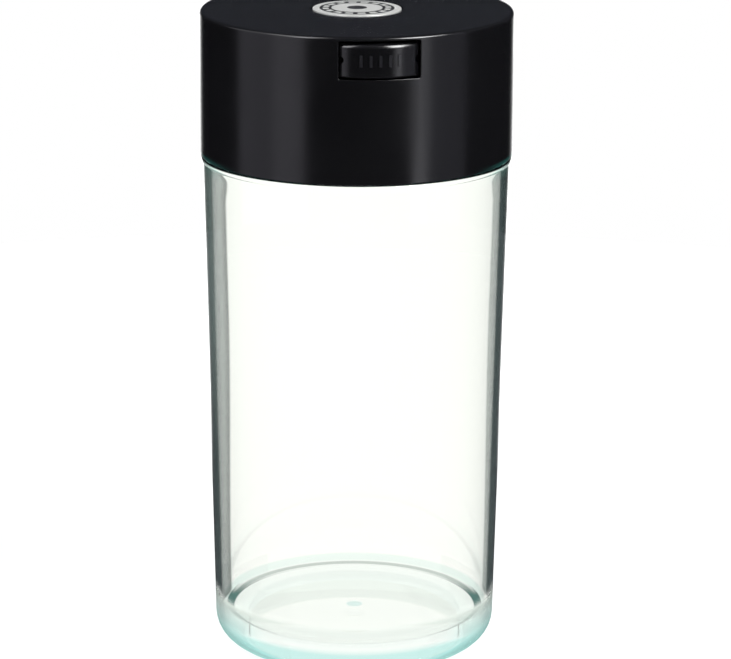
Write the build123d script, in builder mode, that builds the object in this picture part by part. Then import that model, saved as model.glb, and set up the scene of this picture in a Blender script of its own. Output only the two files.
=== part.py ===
from build123d import *
from math import asin, degrees
import os

# Press-on vacuum canister: a clear tapered jar with a deep black lid and a push-button air vent.
# The jar stands on z = 0 with its axis on Z, and the vent button faces -Y. Sizes are in millimetres.
# The lid is double: a plain outer shell, and inside it a plug whose ring seals in the jar's neck.
# A dent in the plug's shoulder holds the vent: a sprung button whose stem pulls a small seal shut.

# Jar
shoulder_height = 130.65  # table to the ledge that the lid's skirt comes down to
body_step = 0.5  # how far the side stands in from the lip
body_draw_in = 2.95  # how much narrower the tapered side is at the table than under the lip
body_wall_base = 1.5
foot_corner = 7.5  # the big outside radius at the foot
foot_land = 1.0  # width of the flat ring that the jar stands on
foot_edge_round = 0.3
floor_top = 8.4  # table to the inside floor
floor_thickness = 2.5
floor_corner = 4.0  # inside radius between floor and side
recess_corner = 1.6  # radius at the top of the recess under the floor
gate_radius = 2.1  # round mark left under the floor by moulding
gate_height = 0.4
lip_inset = 0.1  # how far the lip stands in from the lid's skirt
lip_height = 1.6
lip_round = 0.4
neck_height = 24.55  # shoulder to rim
neck_wall = 1.3
neck_root_round = 0.1
rim_round = 0.5
bore_run = 3.0  # how far the straight bore goes on below the shoulder
neck_clearance = 0.15  # between the neck and the lid's skirt

# Lid shell
lid_radius = 40.0
lid_height = 37.1
lid_edge_round = 0.8
skirt_wall = 1.4
skirt_edge_round = 0.3
top_wall = 1.6
seat_gap = 0.25  # between the skirt's lower edge and the jar's shoulder

# Badge disc on the lid
badge_radius = 11.3
badge_height = 0.6
badge_edge_round = 0.15
badge_crown = 0.15  # how far its face rises to the middle
badge_recess = 0.25
badge_gap = 0.8

# Plug inside the lid
plug_clearance = 0.45  # between the plug's side and the neck's bore
plug_wall = 2.4
plug_top_wall = 1.2
plug_height = 25.6
plug_lead = 0.8  # chamfer that guides the plug into the neck
plug_corner = 1.0  # inside radius under the plug's top
brim_gap = 0.1  # between the plug's brim and the shell
brim_floor = 1.6

# Ring seal in the plug's groove
groove_height = 3.6
groove_depth = 1.1
groove_lift = 2.4  # the plug's lower edge to the groove
seal_gap = 0.05
lip_pitch = 1.6  # between the seal's two lips
lip_base = 1.1  # height of a lip where it leaves the ring
lip_tip = 0.3
seal_band_inset = 0.15  # how far the ring's band stays inside the plug's side

# Vent window in the skirt and the dent behind it
window_width = 20.4
window_height = 9.6
window_roof = 1.0  # what is left of the lid's top above the window
window_corner = 0.6
window_edge_round = 0.15
dent_side_gap = 0.3  # the dent is this much larger than the window
dent_wall = 1.4
port_radius = 1.75
spring_seat_depth = 0.3

# Vent button
button_side_gap = 0.4
button_top_gap = 0.55
button_base_gap = 0.45
button_proud = 0.5  # how far its middle stands out of the skirt
button_face_radius = 17.5
button_face_wall = 1.8
button_end_wall = 1.8
button_wall = 1.0
button_depth = 7.4  # its middle to the end of its side walls
button_top_round = 1.5
button_base_round = 0.4
button_end_round = 0.3  # at the ends of its face
button_travel = 1.8
button_stop_gap = 0.3  # left behind it when it is pressed
notch_radius = 1.0
notch_depth = 2.0  # how far a notch runs back from the end of the face
grip_bars = 5
grip_bar_width = 0.8
grip_bar_height = 3.0
grip_bar_pitch = 2.4
grip_bar_rise = 0.25

# Valve stem, seal and retainer
vent_drop = 0.4  # the stem lies this far below the button's middle
stem_gap = 0.1  # between the stem's ribs and the port
stem_rib = 0.9
spigot_radius = 0.9
spigot_tail = 0.9  # how far the spigot goes on past the retainer
barb_rise = 0.15
valve_gap = 0.1  # between the closed seal and its wall
valve_radius = 2.8
valve_thickness = 1.4
valve_rim = 0.7  # width of the seal's face that meets the wall
valve_hollow = 0.4
valve_back_radius = 2.0
spigot_gap = 0.03
retainer_radius = 1.9
retainer_thickness = 0.5
retainer_slots = 3
retainer_slot_width = 0.5
retainer_slot_reach = 1.4  # the spigot's middle to the end of a slot

# Return spring
spring_radius = 2.1
spring_wire = 0.45
spring_turns = 5.0
spring_end_gap = 0.05
spring_pad_rise = 0.5  # the pad behind the button's face that the spring bears on
spring_pad_margin = 0.25  # how far pad and seat reach past the coil

cut_overrun = 2.0  # how far a cut runs past what it cuts

# Heights and radii that follow
lid_base_z = shoulder_height + seat_gap
lid_top_z = lid_base_z + lid_height
shell_bore = lid_radius - skirt_wall
lip_radius = lid_radius - lip_inset
body_top_radius = lip_radius - body_step
body_base_radius = body_top_radius - body_draw_in
neck_radius = shell_bore - neck_clearance
neck_bore = neck_radius - neck_wall
rim_z = shoulder_height + neck_height
floor_base_z = floor_top - floor_thickness
foot_ring_radius = body_base_radius - foot_corner - foot_land
body_bore_base = body_base_radius - body_wall_base
plug_top_z = lid_top_z - top_wall
plug_base_z = plug_top_z - plug_height
plug_radius = neck_bore - plug_clearance
plug_bore = plug_radius - plug_wall
brim_radius = shell_bore - brim_gap
brim_bore = brim_radius - plug_wall
groove_radius = plug_radius - groove_depth
groove_base_z = plug_base_z + groove_lift
groove_middle_z = groove_base_z + groove_height / 2
window_top_z = lid_top_z - window_roof
window_base_z = window_top_z - window_height
window_middle_z = (window_top_z + window_base_z) / 2
button_top_z = window_top_z - button_top_gap
button_base_z = window_base_z + button_base_gap
button_height = button_top_z - button_base_z
button_middle_z = (button_top_z + button_base_z) / 2
button_width = window_width - 2 * button_side_gap
vent_z = button_middle_z - vent_drop
dent_base_z = window_base_z - dent_side_gap
brim_base_z = dent_base_z - dent_wall
dent_half = window_width / 2 + dent_side_gap
button_front_y = -lid_radius - button_proud
button_centre_y = button_front_y + button_face_radius
button_face_end_y = button_centre_y - (button_face_radius**2 - button_width**2 / 4) ** 0.5
button_end_y = button_front_y + button_depth
dent_back_y = button_end_y + button_travel + button_stop_gap
seat_y = dent_back_y + dent_wall
spring_pad_y = button_front_y + button_face_wall + spring_pad_rise
stem_radius = port_radius - stem_gap
valve_y = seat_y + valve_gap
stem_shoulder_y = valve_y + valve_hollow
valve_bore = spigot_radius + spigot_gap
retainer_y = valve_y + valve_thickness
barb_y = retainer_y + retainer_thickness + spigot_gap
spring_pad_radius = spring_radius + spring_wire / 2 + spring_pad_margin
vent_axis = Axis((0, 0, vent_z), (0, 1, 0))


def near(sketch, across, up):
    """The corner of a sketch that lies nearest to a point of its outline."""
    return sketch.vertices().sort_by_distance((across, up))[0]


def across_vent(y):
    """An upright plane across the vent at y; a negative extrusion from it goes into the lid."""
    return Plane.XZ.offset(-y)


def borders_window(edge):
    """Whether an edge lies where the window breaks through the skirt's outer face."""
    middle = edge @ 0.5
    on_face = abs((middle.X**2 + middle.Y**2) ** 0.5 - lid_radius) < window_edge_round / 2
    beside = middle.Y < 0 and abs(middle.X) < window_width / 2 + window_edge_round
    level = abs(middle.Z - window_middle_z) < window_height / 2 + window_edge_round
    return on_face and beside and level


os.makedirs("parts", exist_ok=True)

# Clear jar: one moulding, with a straight neck above a tapered body and a recess under its floor
with BuildPart() as canister:
    with BuildSketch(Plane.XZ) as jar_section:
        with BuildLine():
            Polyline(
                (0, floor_base_z),
                (foot_ring_radius, floor_base_z),
                (foot_ring_radius, 0),
                (body_base_radius, 0),
                (body_top_radius, shoulder_height - lip_height),
                (lip_radius, shoulder_height - lip_height + body_step),
                (lip_radius, shoulder_height),
                (neck_radius, shoulder_height),
                (neck_radius, rim_z),
                (neck_bore, rim_z),
                (neck_bore, shoulder_height - bore_run),
                (body_bore_base, floor_top),
                (0, floor_top),
                close=True,
            )
        make_face()
        fillet(near(jar_section, foot_ring_radius, floor_base_z), recess_corner)
        fillet(near(jar_section, foot_ring_radius, 0), foot_edge_round)
        fillet(near(jar_section, body_base_radius, 0), foot_corner)
        fillet(near(jar_section, lip_radius, shoulder_height), lip_round)
        fillet(near(jar_section, neck_radius, shoulder_height), neck_root_round)
        fillet(near(jar_section, neck_radius, rim_z), rim_round)
        fillet(near(jar_section, neck_bore, rim_z), rim_round)
        fillet(near(jar_section, body_bore_base, floor_top), floor_corner)
    revolve(axis=Axis.Z)
    with BuildSketch(Plane.XY.offset(floor_base_z)):
        Circle(gate_radius)
    extrude(amount=-gate_height)
canister.part.label = "canister"

# Lid shell: a plain cap with a shallow badge recess, and a window for the button under its rim
with BuildPart() as lid_shell:
    with BuildSketch(Plane.XZ) as shell_section:
        with BuildLine():
            Polyline(
                (0, lid_top_z),
                (lid_radius, lid_top_z),
                (lid_radius, lid_base_z),
                (shell_bore, lid_base_z),
                (shell_bore, plug_top_z),
                (0, plug_top_z),
                close=True,
            )
        make_face()
        fillet(near(shell_section, lid_radius, lid_top_z), lid_edge_round)
        fillet(near(shell_section, lid_radius, lid_base_z), skirt_edge_round)
        fillet(near(shell_section, shell_bore, lid_base_z), skirt_edge_round)
    revolve(axis=Axis.Z)
    with BuildSketch(Plane.XY.offset(lid_top_z)):
        Circle(badge_radius + badge_gap)
    extrude(amount=-badge_recess, mode=Mode.SUBTRACT)
    with BuildSketch(across_vent(-lid_radius - cut_overrun)):
        with Locations((0, window_middle_z)):
            RectangleRounded(window_width, window_height, window_corner)
    extrude(amount=-(lid_radius + cut_overrun + dent_back_y), mode=Mode.SUBTRACT)
    window_edges = lid_shell.edges().filter_by(borders_window)
    fillet(window_edges, window_edge_round)
lid_shell.part.label = "lid_shell"

# Badge: a thin disc with a slightly crowned face
badge_base_z = lid_top_z - badge_recess
badge_rim_z = badge_base_z + badge_height - badge_crown
badge_sphere = (badge_radius**2 + badge_crown**2) / (2 * badge_crown)
badge_half_angle = degrees(asin(badge_radius / badge_sphere))
with BuildPart() as lid_badge:
    with BuildSketch(Plane.XZ) as badge_section:
        with BuildLine():
            crown = CenterArc(
                (0, badge_rim_z + badge_crown - badge_sphere),
                badge_sphere,
                90 - badge_half_angle,
                badge_half_angle,
            )
            Polyline(crown @ 1, (0, badge_base_z), (badge_radius, badge_base_z), crown @ 0)
        make_face()
        fillet(near(badge_section, badge_radius, badge_rim_z), badge_edge_round)
    revolve(axis=Axis.Z)
lid_badge.part.label = "lid_badge"

# Plug: a cup turned over, with a seal groove below and a wider brim above the jar's rim.
# The dent in its side is walled off from the inside, and only the port leads through.
with BuildPart() as lid_plug:
    with BuildSketch(Plane.XZ) as plug_section:
        with BuildLine():
            Polyline(
                (0, plug_top_z),
                (brim_radius, plug_top_z),
                (brim_radius, brim_base_z),
                (plug_radius, brim_base_z),
                (plug_radius, groove_base_z + groove_height),
                (groove_radius, groove_base_z + groove_height),
                (groove_radius, groove_base_z),
                (plug_radius, groove_base_z),
                (plug_radius, plug_base_z),
                (plug_bore, plug_base_z),
                (plug_bore, brim_base_z + brim_floor),
                (brim_bore, brim_base_z + brim_floor),
                (brim_bore, plug_top_z - plug_top_wall),
                (0, plug_top_z - plug_top_wall),
                close=True,
            )
        make_face()
        chamfer(near(plug_section, plug_radius, plug_base_z), plug_lead)
        fillet(near(plug_section, brim_bore, plug_top_z - plug_top_wall), plug_corner)
    revolve(axis=Axis.Z)
    with BuildSketch(Plane.XY.offset(brim_base_z)):
        with Locations((0, seat_y)):
            Rectangle(2 * (dent_half + dent_wall), lid_radius, align=(Align.CENTER, Align.MAX))
        Circle(brim_radius, mode=Mode.INTERSECT)
    extrude(amount=plug_top_z - brim_base_z)
    with BuildSketch(Plane.XY.offset(dent_base_z)):
        with Locations((0, dent_back_y)):
            Rectangle(2 * dent_half, lid_radius, align=(Align.CENTER, Align.MAX))
    extrude(amount=plug_top_z - dent_base_z + cut_overrun, mode=Mode.SUBTRACT)
    with BuildSketch(across_vent(dent_back_y)):
        with Locations((0, vent_z)):
            Circle(spring_pad_radius)
    extrude(amount=-spring_seat_depth, mode=Mode.SUBTRACT)
    with BuildSketch(across_vent(dent_back_y)):
        with Locations((0, vent_z)):
            Circle(port_radius)
    extrude(amount=-(dent_wall + cut_overrun), mode=Mode.SUBTRACT)
lid_plug.part.label = "lid_plug"

# Ring seal: a flat band in the plug's groove, with two lips that reach the neck's bore
seal_bore = groove_radius + seal_gap
seal_band_radius = plug_radius - seal_band_inset
seal_tip_radius = neck_bore - seal_gap
seal_half_height = groove_height / 2 - seal_gap
with BuildPart() as plug_seal:
    with BuildSketch(Plane.XZ):
        with Locations((seal_bore, groove_middle_z)):
            Rectangle(
                seal_band_radius - seal_bore,
                2 * seal_half_height,
                align=(Align.MIN, Align.CENTER),
            )
        for lip_z in (groove_middle_z - lip_pitch / 2, groove_middle_z + lip_pitch / 2):
            with BuildLine():
                Polyline(
                    (seal_bore, lip_z - lip_base / 2),
                    (seal_band_radius, lip_z - lip_base / 2),
                    (seal_tip_radius, lip_z - lip_tip / 2),
                    (seal_tip_radius, lip_z + lip_tip / 2),
                    (seal_band_radius, lip_z + lip_base / 2),
                    (seal_bore, lip_z + lip_base / 2),
                    close=True,
                )
            make_face()
    revolve(axis=Axis.Z)
plug_seal.part.label = "plug_seal"

# Button: a hollow push plate with a bowed, barred face, and behind it the ribbed valve stem
with BuildPart() as push_button:
    with BuildSketch(Plane.XY.offset(button_base_z)):
        with Locations((0, button_centre_y)):
            Circle(button_face_radius)
        with Locations((0, button_end_y)):
            Rectangle(
                button_width,
                button_depth + cut_overrun,
                align=(Align.CENTER, Align.MAX),
                mode=Mode.INTERSECT,
            )
    extrude(amount=button_height)
    fillet(push_button.faces().sort_by(Axis.Z)[-1].edges().sort_by(Axis.Y)[0], button_top_round)
    fillet(push_button.faces().sort_by(Axis.Z)[0].edges().sort_by(Axis.Y)[0], button_base_round)
    end_edges = push_button.edges().filter_by(Axis.Z).group_by(Axis.Y)[0]
    fillet(end_edges, button_end_round)
    with BuildSketch(Plane.XY.offset(button_base_z + button_wall)):
        with Locations((0, button_centre_y)):
            Circle(button_face_radius - button_face_wall)
        with Locations((0, button_end_y + cut_overrun)):
            Rectangle(
                button_width - 2 * button_end_wall,
                button_depth + cut_overrun,
                align=(Align.CENTER, Align.MAX),
                mode=Mode.INTERSECT,
            )
    extrude(amount=button_height - 2 * button_wall, mode=Mode.SUBTRACT)
    with BuildSketch(across_vent(button_front_y)):
        with Locations((-button_width / 2, button_middle_z), (button_width / 2, button_middle_z)):
            Circle(notch_radius)
    extrude(amount=-(button_face_end_y + notch_depth - button_front_y), mode=Mode.SUBTRACT)
    with BuildSketch(Plane.XY.offset(button_middle_z - grip_bar_height / 2)):
        with Locations((0, button_front_y)):
            with GridLocations(grip_bar_pitch, 0, grip_bars, 1):
                Rectangle(grip_bar_width, 2 * button_face_wall)
        with Locations((0, button_centre_y)):
            Circle(button_face_radius + grip_bar_rise, mode=Mode.INTERSECT)
            Circle(button_face_radius - button_face_wall / 2, mode=Mode.SUBTRACT)
    extrude(amount=grip_bar_height)
    with BuildSketch(across_vent(spring_pad_y)):
        with Locations((0, vent_z)):
            Circle(spring_pad_radius)
    extrude(amount=spring_pad_rise + button_face_wall / 2)
    with BuildSketch(across_vent(spring_pad_y)):
        with Locations((0, vent_z)):
            Rectangle(2 * stem_radius, stem_rib)
            Rectangle(stem_rib, 2 * stem_radius)
            Circle(stem_radius, mode=Mode.INTERSECT)
    extrude(amount=-(stem_shoulder_y - spring_pad_y))
    with BuildSketch(across_vent(stem_shoulder_y)):
        with Locations((0, vent_z)):
            Circle(spigot_radius)
    extrude(amount=-(barb_y - stem_shoulder_y))
    with BuildSketch(across_vent(barb_y)):
        with Locations((0, vent_z)):
            Circle(spigot_radius + barb_rise)
    extrude(amount=-spigot_tail)
    chamfer(push_button.edges().sort_by(Axis.Y)[-1], spigot_radius / 2)
push_button.part.label = "push_button"

# Valve seal: a soft cup on the stem's spigot, whose rim closes against the dent's back wall
with BuildPart() as valve_seal:
    with BuildSketch(Plane.YZ):
        with BuildLine():
            Polyline(
                (stem_shoulder_y, vent_z + valve_bore),
                (stem_shoulder_y, vent_z + valve_radius - valve_rim),
                (valve_y, vent_z + valve_radius - valve_rim),
                (valve_y, vent_z + valve_radius),
                (valve_y + valve_thickness / 2, vent_z + valve_radius),
                (retainer_y, vent_z + valve_back_radius),
                (retainer_y, vent_z + valve_bore),
                close=True,
            )
        make_face()
    revolve(axis=vent_axis)
valve_seal.part.label = "valve_seal"

# Retainer: a slotted snap washer between the seal and the spigot's barb
with BuildPart() as valve_retainer:
    with BuildSketch(across_vent(retainer_y)):
        with Locations((0, vent_z)):
            Circle(retainer_radius)
            with PolarLocations(0, retainer_slots, start_angle=90):
                Rectangle(
                    retainer_slot_reach,
                    retainer_slot_width,
                    align=(Align.MIN, Align.CENTER),
                    mode=Mode.SUBTRACT,
                )
            Circle(valve_bore, mode=Mode.SUBTRACT)
    extrude(amount=-retainer_thickness)
valve_retainer.part.label = "valve_retainer"

# Return spring: an open coil round the stem, from the button's pad to the seat in the dent's wall
spring_start_y = spring_pad_y + spring_end_gap + spring_wire / 2
spring_end_y = dent_back_y + spring_seat_depth - spring_end_gap - spring_wire / 2
spring_length = spring_end_y - spring_start_y
spring_pitch = spring_length / spring_turns
with BuildPart() as button_spring:
    with BuildLine() as coil:
        Helix(spring_pitch, spring_length, spring_radius, (0, spring_start_y, vent_z), (0, 1, 0))
    with BuildSketch(Plane(origin=coil.line @ 0, z_dir=coil.line % 0)):
        Circle(spring_wire / 2)
    sweep(path=coil.line, is_frenet=True)
button_spring.part.label = "button_spring"
print(f"gap between the spring's turns, at rest {spring_pitch - spring_wire:.2f}", end="")
print(f" and pressed {(spring_length - button_travel) / spring_turns - spring_wire:.2f}")

pieces = (
    canister,
    lid_shell,
    lid_badge,
    lid_plug,
    plug_seal,
    push_button,
    valve_seal,
    valve_retainer,
    button_spring,
)
for piece in pieces:
    export_step(piece.part, f"parts/{piece.part.label}.step")
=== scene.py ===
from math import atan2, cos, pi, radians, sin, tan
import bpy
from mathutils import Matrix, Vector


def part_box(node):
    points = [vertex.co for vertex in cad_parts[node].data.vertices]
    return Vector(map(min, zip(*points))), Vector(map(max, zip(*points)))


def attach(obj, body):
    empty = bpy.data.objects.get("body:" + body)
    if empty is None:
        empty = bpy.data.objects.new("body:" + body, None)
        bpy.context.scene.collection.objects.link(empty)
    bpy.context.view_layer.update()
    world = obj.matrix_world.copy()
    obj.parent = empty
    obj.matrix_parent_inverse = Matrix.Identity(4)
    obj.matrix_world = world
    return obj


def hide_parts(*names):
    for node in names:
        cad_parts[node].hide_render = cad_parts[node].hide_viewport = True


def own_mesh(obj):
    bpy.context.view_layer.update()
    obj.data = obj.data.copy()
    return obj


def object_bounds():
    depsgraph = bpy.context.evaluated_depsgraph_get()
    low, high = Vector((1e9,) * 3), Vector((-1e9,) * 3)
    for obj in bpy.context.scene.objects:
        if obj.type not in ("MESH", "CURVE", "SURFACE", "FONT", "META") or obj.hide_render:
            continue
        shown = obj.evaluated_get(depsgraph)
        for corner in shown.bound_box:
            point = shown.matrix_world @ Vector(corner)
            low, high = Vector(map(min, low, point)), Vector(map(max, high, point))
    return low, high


bl_info = {
    "name": "Vacuum Seal Canister",
    "version": (1, 0, 0),
    "blender": (4, 5, 0),
    "location": "View3D > Sidebar > Canister",
    "description": "Dresses a clear press-on canister with a black vented lid",
    "category": "Add Mesh",
}

from types import SimpleNamespace

import bmesh
import bpy
from mathutils import Matrix, Vector

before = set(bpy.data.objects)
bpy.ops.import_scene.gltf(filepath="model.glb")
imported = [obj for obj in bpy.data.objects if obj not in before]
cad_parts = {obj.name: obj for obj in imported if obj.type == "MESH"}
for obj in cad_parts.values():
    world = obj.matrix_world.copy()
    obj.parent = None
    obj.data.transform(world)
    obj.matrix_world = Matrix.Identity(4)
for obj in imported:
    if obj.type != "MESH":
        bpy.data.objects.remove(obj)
cad_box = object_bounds()

MM = 0.001
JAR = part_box("canister")
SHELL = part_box("lid_shell")
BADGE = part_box("lid_badge")
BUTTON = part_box("push_button")
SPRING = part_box("button_spring")


class CanisterSizes(bpy.types.PropertyGroup):
    """Sizes of the clear jar and the badge, at rest in the frame of the whole part"""

    def size(name, description, default):
        return bpy.props.FloatProperty(
            name=name, description=description, default=default, min=0,
            unit="LENGTH", subtype="DISTANCE",
        )

    lip_radius: size("Lip Radius", "Outside of the lip under the lid", JAR[1].x)
    rim_height: size("Rim Height", "Table to the rim that the lid hides", JAR[1].z)
    seat_gap: size("Seat Gap", "Between the lid's skirt and the ledge under it", 0.25 * MM)
    lip_height: size("Lip Height", "Upright part and slope of the lip together", 1.6 * MM)
    lip_round: size("Lip Round", "Round on the lip's upper edge", 0.4 * MM)
    side_step: size("Side Step", "How far the side stands in from the lip", 0.5 * MM)
    side_draw_in: size("Side Draw In", "How much narrower the side is at the table", 2.95 * MM)
    foot_wall: size("Foot Wall", "Thickness of the side at the foot", 1.5 * MM)
    foot_corner: size("Foot Corner", "Outside radius at the foot", 7.5 * MM)
    foot_land: size("Foot Land", "Width of the ring that the jar stands on", 1.0 * MM)
    foot_edge: size("Foot Edge", "Round on the inner edge of that ring", 0.3 * MM)
    floor_top: size("Floor Top", "Table to the inside floor", 8.4 * MM)
    floor_thickness: size("Floor Thickness", "Thickness of the floor", 2.5 * MM)
    floor_corner: size("Floor Corner", "Inside radius between floor and side", 4.0 * MM)
    recess_corner: size("Recess Corner", "Radius at the top of the recess below", 1.6 * MM)
    gate_radius: size("Gate Radius", "Round mark left under the floor by moulding", 2.1 * MM)
    gate_height: size("Gate Height", "How far that mark stands down", 0.4 * MM)
    neck_step: size("Neck Step", "How far the neck stands in from the lip", 1.45 * MM)
    neck_wall: size("Neck Wall", "Thickness of the neck", 1.3 * MM)
    neck_root: size("Neck Root", "Round where the neck meets the ledge", 0.1 * MM)
    rim_round: size("Rim Round", "Rounds on the rim's two edges", 0.5 * MM)
    bore_run: size("Bore Run", "How far the straight bore goes on below the ledge", 3.0 * MM)
    badge_edge: size("Badge Edge", "Round on the badge's edge", 0.15 * MM)
    badge_crown: size("Badge Crown", "How far the badge's face rises to its middle", 0.15 * MM)
    grip_pitch: size("Grip Pitch", "From one grip bar on the button to the next", 2.4 * MM)
    grip_width: size("Grip Width", "Width of each grip bar", 0.8 * MM)
    grip_height: size("Grip Height", "Height of the grip bars", 3.0 * MM)
    coil_wire: size("Coil Wire", "Thickness of the return spring's wire", 0.45 * MM)
    coil_turns: bpy.props.FloatProperty(
        name="Coil Turns", description="Turns of the return spring", default=5, min=1
    )
    turns: bpy.props.IntProperty(
        name="Segments", description="Steps round a turned piece", default=256, min=32, max=512
    )
    corner_steps: bpy.props.IntProperty(
        name="Corner Steps", description="Points along each rounded corner", default=9, min=2, max=32
    )


class CanisterFinishes(bpy.types.PropertyGroup):
    """Colours and gloss of the canister's materials"""

    def colour(name, description, default):
        return bpy.props.FloatVectorProperty(
            name=name, description=description, default=default, min=0, max=1, size=3, subtype="COLOR"
        )

    def share(name, description, default):
        return bpy.props.FloatProperty(
            name=name, description=description, default=default, min=0, max=1, subtype="FACTOR"
        )

    jar_clear: colour("Jar Clear", "Tint of the jar's wall seen straight on", (1.0, 1.0, 0.985))
    jar_edge: colour("Jar Edge", "Tint where the plastic is seen edge on", (0.20, 0.55, 0.53))
    # Painted shade: the grey band and the dark line along the wall's sides, for light the wall bends or
    # turns back
    jar_painted_grey: colour("Jar Painted Grey", "Tint of the grey band beside the dark edge", (0.32, 0.345, 0.34))
    jar_painted_dark: colour("Jar Painted Dark", "Tint of light turned back inside the wall", (0.012, 0.02, 0.02))
    lid_black: colour("Lid Black", "Black moulding of the lid", (0.0042, 0.0042, 0.0050))
    lid_roughness: share("Lid Roughness", "Roughness of the lid's satin moulding", 0.20)
    foil_silver: colour("Foil Silver", "Foil of the badge", (0.84, 0.85, 0.83))
    foil_ink: colour("Foil Ink", "Dark rings printed on the badge", (0.035, 0.036, 0.04))
    rubber_black: colour("Rubber Black", "Soft rings of the plug and the valve", (0.012, 0.012, 0.013))
    steel: colour("Steel", "Spring and retainer", (0.60, 0.60, 0.61))


class CanisterStage(bpy.types.PropertyGroup):
    """The floor, the light and the camera"""

    def distance(name, description, default):
        return bpy.props.FloatProperty(
            name=name, description=description, default=default, unit="LENGTH", subtype="DISTANCE"
        )

    def angle(name, description, default):
        return bpy.props.FloatProperty(
            name=name, description=description, default=radians(default),
            unit="ROTATION", subtype="ANGLE",
        )

    def power(name, description, default):
        return bpy.props.FloatProperty(
            name=name, description=description, default=default, min=0, unit="POWER"
        )

    floor_radius: distance("Floor Radius", "Radius of the pale round floor", 0.45)
    ambient: bpy.props.FloatProperty(
        name="Ambient", description="Level of the even studio light", default=0.76, min=0, max=2
    )
    key_power: power("Key Power", "Power of the lamp to the right", 4.0)
    fill_power: power("Fill Power", "Power of the lamp to the left", 0.9)
    camera_azimuth: angle("Camera Azimuth", "Turn of the camera round the jar's axis", -8.5)
    camera_pitch: angle("Camera Pitch", "How far the camera looks down", 15.218)
    camera_roll: angle("Camera Roll", "Turn of the camera about its own line of sight", 0.311)
    camera_back: distance("Camera Distance", "Camera's distance in front of the jar's axis", 0.8949)
    camera_right: distance("Camera Right", "How far it stands to the right of the axis", 2.605 * MM)
    camera_height: distance("Camera Height", "Camera's height above the table", 0.327)
    camera_lens: bpy.props.FloatProperty(
        name="Camera Lens", description="Focal length in mm on a 36 mm wide frame", default=175.5
    )


# Nodes


def feed(tree, socket, source):
    """Gives an input a plain value, or joins it to another node's output."""
    if isinstance(source, bpy.types.NodeSocket):
        tree.links.new(source, socket)
    elif socket.type == "RGBA" and len(source) == 3:
        socket.default_value = (*source, 1)
    else:
        socket.default_value = source


def add(tree, kind, inputs=(), **settings):
    """A new node with its settings and its inputs, by name or by number."""
    made = tree.nodes.new(kind)
    for name, value in settings.items():
        setattr(made, name, value)
    for name, source in dict(inputs).items():
        feed(tree, made.inputs[name], source)
    return made


def maths(tree, operation, *sources, clamp=False):
    """The result of a Math node."""
    made = add(tree, "ShaderNodeMath", enumerate(sources), operation=operation, use_clamp=clamp)
    return made.outputs[0]


def product(tree, *factors):
    """The product of two or more values."""
    result = factors[0]
    for factor in factors[1:]:
        result = maths(tree, "MULTIPLY", result, factor)
    return result


def greatest(tree, *values):
    """The greatest of two or more values."""
    result = values[0]
    for value in values[1:]:
        result = maths(tree, "MAXIMUM", result, value)
    return result


def away_from(tree, first, second):
    """The distance that two lengths at right angles to each other give."""
    squares = [maths(tree, "POWER", length, 2) for length in (first, second)]
    return maths(tree, "SQRT", maths(tree, "ADD", *squares))


def object_place(tree):
    """The place on the piece, whole and as its three axes."""
    place = add(tree, "ShaderNodeTexCoord").outputs["Object"]
    return place, add(tree, "ShaderNodeSeparateXYZ", {0: place}).outputs


def noise(tree, place, scale, detail, **inputs):
    """A noise texture's value."""
    given = {"Vector": place, "Scale": scale, "Detail": detail, **inputs}
    return add(tree, "ShaderNodeTexNoise", given).outputs["Fac"]


def step_of(tree, value, start, end, low=0.0, high=1.0):
    """A smooth step from low at start to high at end."""
    inputs = {"Value": value, "From Min": start, "From Max": end, "To Min": low, "To Max": high}
    return add(tree, "ShaderNodeMapRange", inputs, interpolation_type="SMOOTHSTEP").outputs["Result"]


def band_of(tree, value, start, end, soft):
    """1 between start and end, with soft ends that reach outwards."""
    rise = step_of(tree, value, start - soft, start)
    return product(tree, rise, step_of(tree, value, end, end + soft, 1, 0))


def mixed(tree, share, first, second, blend="MIX"):
    """Two colours mixed by a share."""
    made = add(tree, "ShaderNodeMix", data_type="RGBA", blend_type=blend)
    feed(tree, made.inputs[0], share)
    feed(tree, made.inputs[6], first)
    feed(tree, made.inputs[7], second)
    return made.outputs[2]


def scaled(colour, factor):
    """A colour made lighter or darker."""
    return tuple(factor * c for c in colour)


def arrange(tree):
    """Sets the nodes out in columns, by how far each is from the tree's output."""
    column = {n.name: 0 for n in tree.nodes}
    for _ in tree.nodes:
        for link in tree.links:
            behind, ahead = link.from_node.name, link.to_node.name
            column[behind] = max(column[behind], column[ahead] + 1)
    filled = {}
    for n in tree.nodes:
        row = filled.get(column[n.name], 0)
        n.location = (-220 * column[n.name], -180 * row)
        filled[column[n.name]] = row + 1


def new_group(name, kind, inputs, outputs):
    """A node group with named inputs, each a name, a kind and a default, and named outputs."""
    group = bpy.data.node_groups.new(name, kind)
    for label, socket, default in inputs:
        made = group.interface.new_socket(name=label, in_out="INPUT", socket_type=socket)
        if default is not None:
            made.default_value = default
    for label, socket in outputs:
        group.interface.new_socket(name=label, in_out="OUTPUT", socket_type=socket)
    return group, group.nodes.new("NodeGroupInput"), group.nodes.new("NodeGroupOutput")


def use_group(tree, name, **inputs):
    """A shader group placed in a tree with its own values. Input names have _ for a space."""
    made = tree.nodes.new("ShaderNodeGroup")
    made.node_tree = bpy.data.node_groups[name]
    for label, source in inputs.items():
        feed(tree, made.inputs[label.replace("_", " ")], source)
    return made


# Shader groups


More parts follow.
